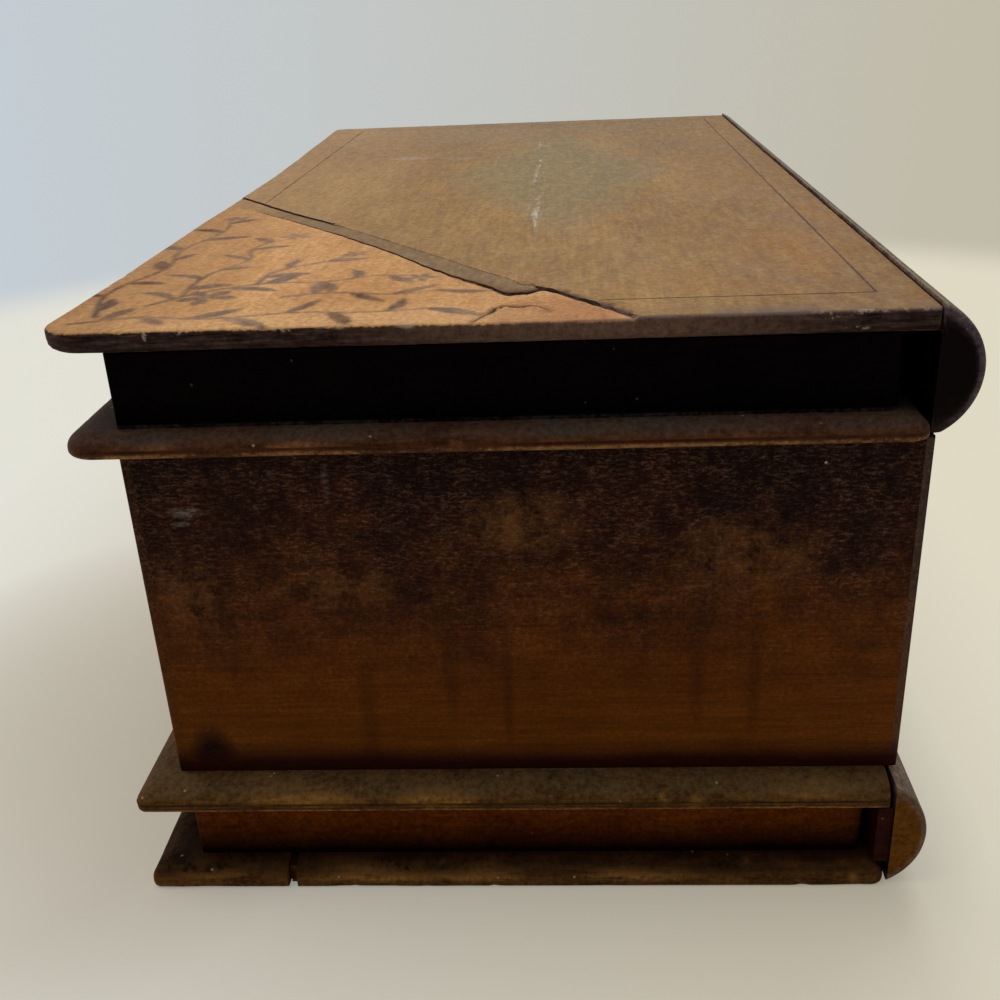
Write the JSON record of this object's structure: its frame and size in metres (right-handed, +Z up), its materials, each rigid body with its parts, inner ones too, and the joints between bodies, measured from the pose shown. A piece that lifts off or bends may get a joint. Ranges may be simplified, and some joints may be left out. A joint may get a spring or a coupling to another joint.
{
  "type": "book-form vanity box",
  "caption": "Long wooden vanity box shaped as a plain case between two closed books; the upper book is a hinged lid with a mirror inside.",
  "frame": {"origin": "bottom centre of the bounding box, on the surface the box stands on", "axes": "+Z up; +X from the books' fore-edges towards their round spines and the hinges; +Y along the spines, away from the viewer of the picture"},
  "size_m": [0.1676, 0.327, 0.1178],
  "materials": {
    "dark_wood": "dark stained, worn varnish",
    "case_wood": "stained from near black to amber, satin",
    "top_wood": "aged golden varnish, worn, with painted sprays",
    "bare_wood": "unfinished, aged",
    "lining_paper": "matt coloured lining paper",
    "brass": "tarnished",
    "steel": "dull wire",
    "mirror": "silvered glass"
  },
  "bodies": {
    "case": {"bottom_front_plank": "dark_wood", "bottom_rear_plank": "dark_wood", "base_page_front": "case_wood", "base_page_back": "case_wood", "base_page_near": "case_wood", "base_page_far": "case_wood", "case_floor_board": "dark_wood", "base_spine_backing": "dark_wood", "base_spine": "dark_wood", "case_front_board": "case_wood", "case_back_board": "case_wood", "case_near_end_board": "case_wood", "case_far_end_board": "case_wood", "floor_lining": "lining_paper", "wall_lining": "lining_paper", "near_hinge_case_leaf": "brass", "far_hinge_case_leaf": "brass", "near_hinge_pin": "steel", "far_hinge_pin": "steel", "case_hinge_screws": "brass"},
    "lid": {"near_hinge_lid_leaf": "brass", "far_hinge_lid_leaf": "brass", "lid_hinge_screws": "brass", "lid_lower_board": "dark_wood", "lid_page_front": "dark_wood", "lid_page_back": "dark_wood", "lid_page_near": "dark_wood", "lid_page_far": "dark_wood", "lid_top_board": "top_wood", "lid_spine": "dark_wood", "mirror_glass": "mirror", "mirror_backing": "bare_wood", "mirror_sprigs": "steel"}
  },
  "joints": [
    {"name": "lid_hinge", "type": "hinge", "parent": "case", "child": "lid", "pos_m": [0.0764, 0, 0.0943], "axis": [0, 1, 0], "range_deg": [0, 100]}
  ]
}
